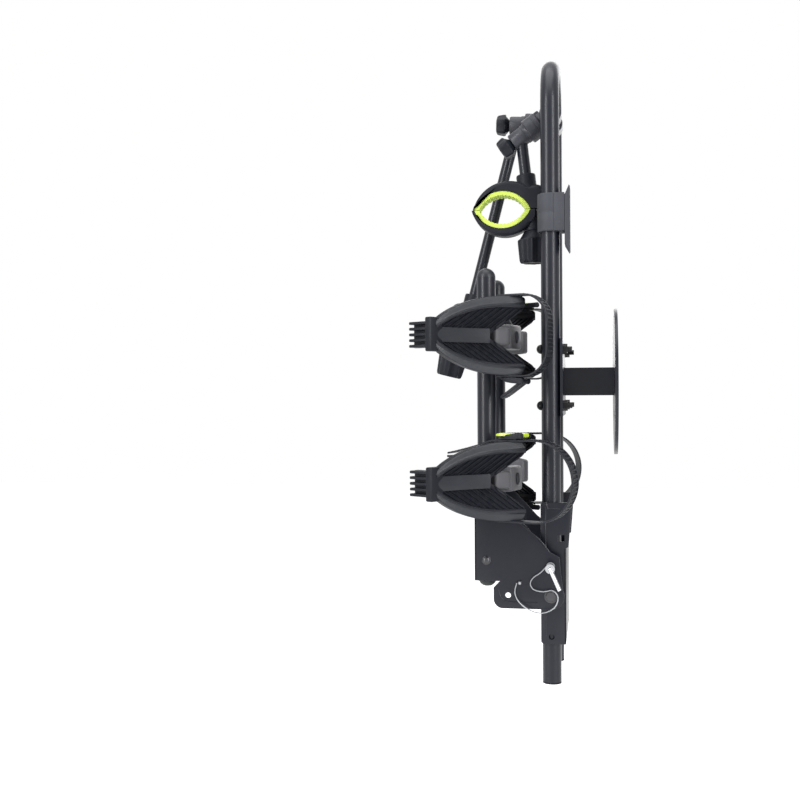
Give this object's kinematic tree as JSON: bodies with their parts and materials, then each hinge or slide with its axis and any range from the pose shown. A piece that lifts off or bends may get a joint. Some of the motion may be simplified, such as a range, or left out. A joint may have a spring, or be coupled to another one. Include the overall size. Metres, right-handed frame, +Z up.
{
  "type": "spare tire bike rack",
  "caption": "Folding bicycle rack that bolts to a vehicle spare wheel, with wheel trays on a hinged platform and two swinging frame clamps.",
  "frame": {"origin": "centre of the wheel plate's face that meets the spare wheel", "axes": "+X towards the vehicle along its length, +Y across the vehicle to the far side, +Z up; the rack is drawn folded up"},
  "size_m": [0.2982, 0.4582, 0.965],
  "materials": {
    "tube_paint": "satin black powder coat",
    "black_plastic": "fine moulded grain",
    "grey_plastic": "moulded grey",
    "black_steel": "black oxide",
    "plated_steel": "zinc plated",
    "chrome": "polished",
    "lime_plastic": "bright lime",
    "lime_rubber": "soft lime pad",
    "strap": "flexible moulded strap"
  },
  "bodies": {
    "mast": {"mast_hoop": "tube_paint", "mast_end_caps": "black_plastic", "arm_rail": "tube_paint", "wheel_plate": "tube_paint", "extension_tube": "tube_paint", "cross_plate": "tube_paint", "mast_bolts": "black_steel", "mast_nuts": "black_steel", "mast_bracket": "tube_paint", "pivot_bolt": "plated_steel", "pivot_spacers": "black_plastic", "mast_saddle": "black_plastic", "saddle_plate": "black_plastic"},
    "platform": {"platform_tubes": "tube_paint", "tube_domes": "black_plastic", "tube_plugs": "black_plastic", "fold_bracket": "tube_paint", "bracket_fasteners": "plated_steel", "pin_lanyard": "plated_steel"},
    "lock_pin": {"lock_pin": "chrome"},
    "near_outer_holder": {"near_outer_scoop": "black_plastic", "near_outer_block": "grey_plastic", "near_outer_strap": "strap", "near_outer_buckle": "black_plastic"},
    "near_outer_lever": {"near_outer_lever": "black_plastic"},
    "near_inner_holder": {"near_inner_scoop": "black_plastic", "near_inner_block": "grey_plastic", "near_inner_strap": "strap", "near_inner_buckle": "black_plastic"},
    "near_inner_lever": {"near_inner_lever": "lime_plastic"},
    "far_outer_holder": {"far_outer_scoop": "black_plastic", "far_outer_block": "grey_plastic", "far_outer_strap": "strap", "far_outer_buckle": "black_plastic"},
    "far_outer_lever": {"far_outer_lever": "lime_plastic"},
    "far_inner_holder": {"far_inner_scoop": "black_plastic", "far_inner_block": "grey_plastic", "far_inner_strap": "strap", "far_inner_buckle": "black_plastic"},
    "far_inner_lever": {"far_inner_lever": "lime_plastic"},
    "long_arm": {"long_arm_head": "grey_plastic", "long_arm_tube": "tube_paint"},
    "long_arm_knob": {"long_arm_knob": "black_plastic"},
    "long_clamp": {"long_clamp_body": "black_plastic", "long_clamp_pad": "lime_rubber"},
    "long_jaw": {"long_clamp_jaw": "black_plastic", "long_jaw_pad": "lime_rubber"},
    "long_clamp_knob": {"long_clamp_knob": "black_plastic"},
    "short_arm": {"short_arm_head": "grey_plastic", "short_arm_tube": "tube_paint"},
    "short_arm_knob": {"short_arm_knob": "black_plastic"},
    "short_clamp": {"short_clamp_body": "black_plastic", "short_clamp_pad": "lime_rubber"},
    "short_jaw": {"short_clamp_jaw": "black_plastic", "short_jaw_pad": "lime_rubber"},
    "short_clamp_knob": {"short_clamp_knob": "black_plastic"}
  },
  "joints": [
    {"name": "platform_fold", "type": "hinge", "parent": "mast", "child": "platform", "pos_m": [-0.1007, 0, -0.322], "axis": [0, -1, 0], "range_deg": [0, 90]},
    {"name": "lock_pin_slide", "type": "slide", "parent": "platform", "child": "lock_pin", "axis": [0, 1, 0], "range_m": [0, 0.016]},
    {"name": "near_outer_slide", "type": "slide", "parent": "platform", "child": "near_outer_holder", "axis": [0, 0, 1], "range_m": [-0.02, 0.06]},
    {"name": "near_outer_lever_turn", "type": "hinge", "parent": "near_outer_holder", "child": "near_outer_lever", "pos_m": [-0.13726, -0.14647, -0.0001], "axis": [-0.342, -0.9397, 0], "range_deg": [-35, 60]},
    {"name": "near_inner_slide", "type": "slide", "parent": "platform", "child": "near_inner_holder", "axis": [0, 0, 1], "range_m": [-0.005, 0.02]},
    {"name": "near_inner_lever_turn", "type": "hinge", "parent": "near_inner_holder", "child": "near_inner_lever", "pos_m": [-0.13726, -0.14647, -0.0801], "axis": [0.342, 0.9397, 0], "range_deg": [0, 95]},
    {"name": "far_outer_slide", "type": "slide", "parent": "platform", "child": "far_outer_holder", "axis": [0, 0, 1], "range_m": [-0.02, 0.06]},
    {"name": "far_outer_lever_turn", "type": "hinge", "parent": "far_outer_holder", "child": "far_outer_lever", "pos_m": [-0.13726, 0.14647, 0.1335], "axis": [-0.342, 0.9397, 0], "range_deg": [0, 95]},
    {"name": "far_inner_slide", "type": "slide", "parent": "platform", "child": "far_inner_holder", "axis": [0, 0, 1], "range_m": [-0.005, 0.02]},
    {"name": "far_inner_lever_turn", "type": "hinge", "parent": "far_inner_holder", "child": "far_inner_lever", "pos_m": [-0.13726, 0.14647, -0.2137], "axis": [0.342, -0.9397, 0], "range_deg": [0, 95]},
    {"name": "long_arm_swing", "type": "hinge", "parent": "mast", "child": "long_arm", "pos_m": [-0.1007, 0.034, 0.415], "axis": [0, 1, 0], "range_deg": [0, 55]},
    {"name": "long_arm_knob_turn", "type": "hinge", "parent": "long_arm", "child": "long_arm_knob", "pos_m": [-0.1706, 0.034, 0.41866], "axis": [-0.9986, 0, 0.0523], "continuous": true},
    {"name": "long_clamp_swivel", "type": "hinge", "parent": "long_arm", "child": "long_clamp", "pos_m": [-0.23073, 0.034, 0.13342], "axis": [0.2521, 0, 0.9677], "range_deg": [-40, 6]},
    {"name": "long_jaw_open", "type": "hinge", "parent": "long_clamp", "child": "long_jaw", "pos_m": [-0.26757, 0.034, 0.08489], "axis": [0, 1, 0], "range_deg": [0, 24]},
    {"name": "long_clamp_knob_turn", "type": "hinge", "parent": "long_jaw", "child": "long_clamp_knob", "pos_m": [-0.25955, 0.034, 0.05919], "axis": [0.2419, 0, 0.9703], "range_deg": [0, 360]},
    {"name": "short_arm_swing", "type": "hinge", "parent": "mast", "child": "short_arm", "pos_m": [-0.1007, -0.034, 0.415], "axis": [0, 1, 0], "range_deg": [0, 90]},
    {"name": "short_arm_knob_turn", "type": "hinge", "parent": "short_arm", "child": "short_arm_knob", "pos_m": [-0.15804, -0.034, 0.37485], "axis": [-0.8191, 0, -0.5736], "continuous": true},
    {"name": "short_clamp_swivel", "type": "hinge", "parent": "short_arm", "child": "short_clamp", "pos_m": [-0.13876, -0.034, 0.31432], "axis": [-0.1132, 0, 0.9936], "range_deg": [-3, 60]},
    {"name": "short_jaw_open", "type": "hinge", "parent": "short_clamp", "child": "short_jaw", "pos_m": [-0.11476, -0.034, 0.25832], "axis": [0, -1, 0], "range_deg": [0, 24]},
    {"name": "short_clamp_knob_turn", "type": "hinge", "parent": "short_jaw", "child": "short_clamp_knob", "pos_m": [-0.12876, -0.034, 0.23532], "axis": [0, 0, 1], "range_deg": [0, 360]}
  ],
  "couplings": [
    {"joint": "long_clamp_knob_turn", "follows": "long_jaw_open", "ratio": 15},
    {"joint": "short_clamp_knob_turn", "follows": "short_jaw_open", "ratio": 15}
  ]
}
